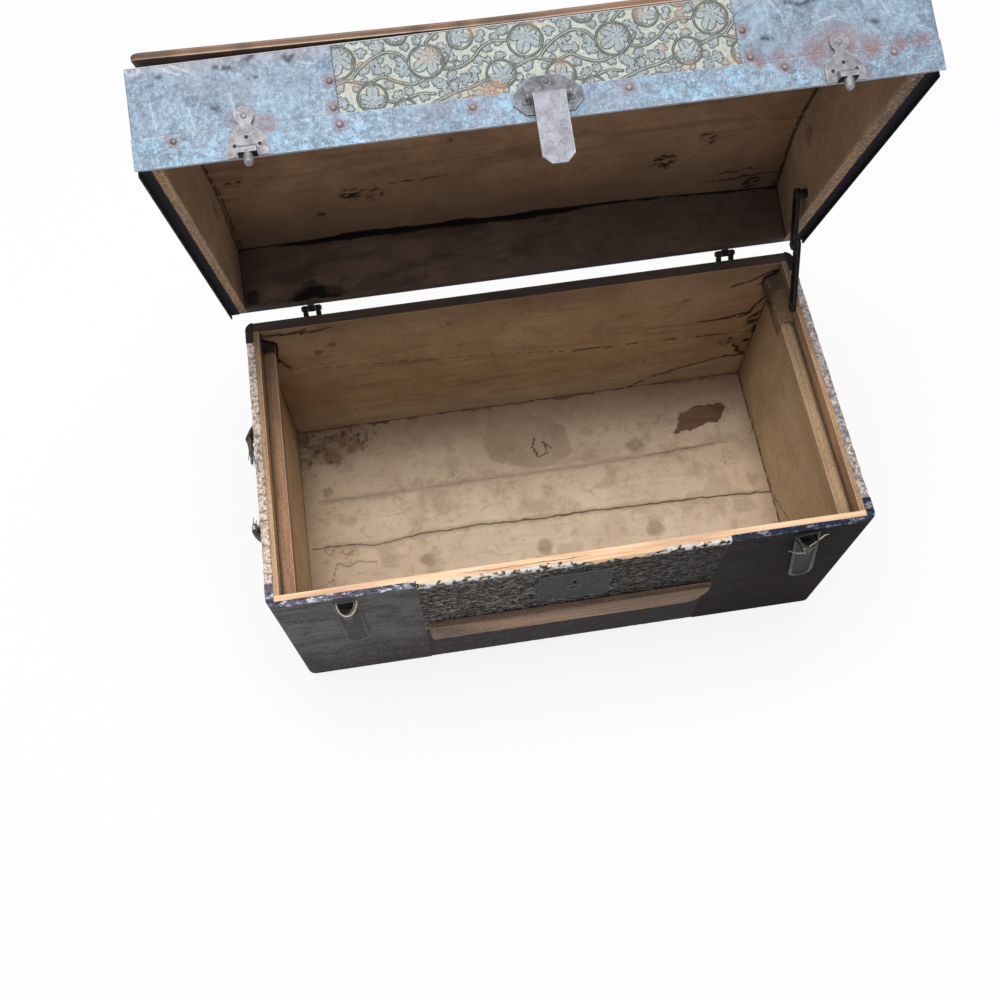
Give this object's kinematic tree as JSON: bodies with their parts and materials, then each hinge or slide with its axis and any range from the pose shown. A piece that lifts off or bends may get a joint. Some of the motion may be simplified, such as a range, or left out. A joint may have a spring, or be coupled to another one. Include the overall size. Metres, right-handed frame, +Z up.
{
  "type": "dome top trunk",
  "caption": "Antique dome top travel trunk of wooden boards under sheet metal and embossed tin, with a hinged lid held open by a folding stay, a hasp, dowel plates and sockets.",
  "frame": {"origin": "centre of the case's underside, on the floor", "axes": "+X along the length, to the right of someone facing the front; +Y to the back, where the hinges are; +Z up"},
  "size_m": [0.8676, 0.5812, 0.7921],
  "materials": {
    "floor_board": "bare, worn and stained pine",
    "case_board": "bare, aged pine",
    "lid_board": "dark, aged pine",
    "slat_wood": "worn hardwood",
    "zinc_sheet": "weathered galvanised sheet",
    "dark_sheet": "worn dark sheet",
    "embossed_tin": "embossed, dull and flaking",
    "iron": "tarnished",
    "black_iron": "blackened iron",
    "leather": "dry and cracked"
  },
  "bodies": {
    "case": {"floor_board_front": "floor_board", "floor_board_middle": "floor_board", "floor_board_back": "floor_board", "front_board": "case_board", "back_board_lower": "case_board", "back_board_upper": "case_board", "left_end_board": "case_board", "right_end_board": "case_board", "tray_cleat_left": "case_board", "tray_cleat_right": "case_board", "front_sheet_left": "dark_sheet", "front_sheet_right": "dark_sheet", "back_sheet": "dark_sheet", "lock_plate": "dark_sheet", "front_tin_panel": "embossed_tin", "left_end_tin": "embossed_tin", "right_end_tin": "embossed_tin", "front_slat": "slat_wood", "dowel_socket_left": "iron", "dowel_socket_right": "iron", "handle_cap_left_rear": "iron", "handle_cap_left_front": "iron", "handle_cap_right_rear": "iron", "handle_cap_right_front": "iron", "hinge_left_case_leaf": "black_iron", "hinge_right_case_leaf": "black_iron", "hinge_left_pin": "black_iron", "hinge_right_pin": "black_iron", "handle_right": "leather", "handle_stub_rear": "leather", "handle_stub_front": "leather"},
    "lid": {"lid_front_tin_panel": "embossed_tin", "dome_slat_front": "slat_wood", "dome_slat_second": "slat_wood", "dome_slat_third": "slat_wood", "dome_slat_rear": "slat_wood", "lid_left_end_board": "lid_board", "lid_right_end_board": "lid_board", "lid_front_board": "lid_board", "lid_back_board": "lid_board", "dome_board_front": "lid_board", "dome_board_middle": "lid_board", "dome_board_rear": "lid_board", "lid_front_sheet_left": "zinc_sheet", "lid_front_sheet_right": "zinc_sheet", "lid_left_end_sheet": "zinc_sheet", "lid_right_end_sheet": "zinc_sheet", "lid_dome_sheet": "zinc_sheet", "lid_band_front": "zinc_sheet", "lid_band_left": "zinc_sheet", "lid_band_right": "zinc_sheet", "hasp_bracket": "iron", "hasp_pin": "iron", "dowel_plate_left": "iron", "dowel_plate_right": "iron", "hinge_left_lid_leaf": "black_iron", "hinge_right_lid_leaf": "black_iron"},
    "hasp": {"hasp_tongue": "iron"},
    "stay_lower": {"stay_lower_link": "black_iron"},
    "stay_upper": {"stay_upper_link": "black_iron"}
  },
  "joints": [
    {"name": "lid_hinge", "type": "hinge", "parent": "case", "child": "lid", "pos_m": [0, 0.232, 0.319], "axis": [1, 0, 0], "range_deg": [0, 74]},
    {"name": "hasp_hinge", "type": "hinge", "parent": "lid", "child": "hasp", "pos_m": [0.004, 0.12017, 0.77358], "axis": [1, 0, 0], "range_deg": [-160, 0]},
    {"name": "stay_lower_pivot", "type": "hinge", "parent": "case", "child": "stay_lower", "pos_m": [0.3854, 0.128, 0.315], "axis": [1, 0, 0], "range_deg": [0, 118.17]},
    {"name": "stay_upper_pivot", "type": "hinge", "parent": "lid", "child": "stay_upper", "pos_m": [0.3799, 0.21767, 0.44805], "axis": [1, 0, 0], "range_deg": [-116.17, 0]}
  ],
  "couplings": [
    {"joint": "stay_lower_pivot", "follows": "lid_hinge", "ratio": 1.5968},
    {"joint": "stay_upper_pivot", "follows": "lid_hinge", "ratio": -1.5697}
  ]
}
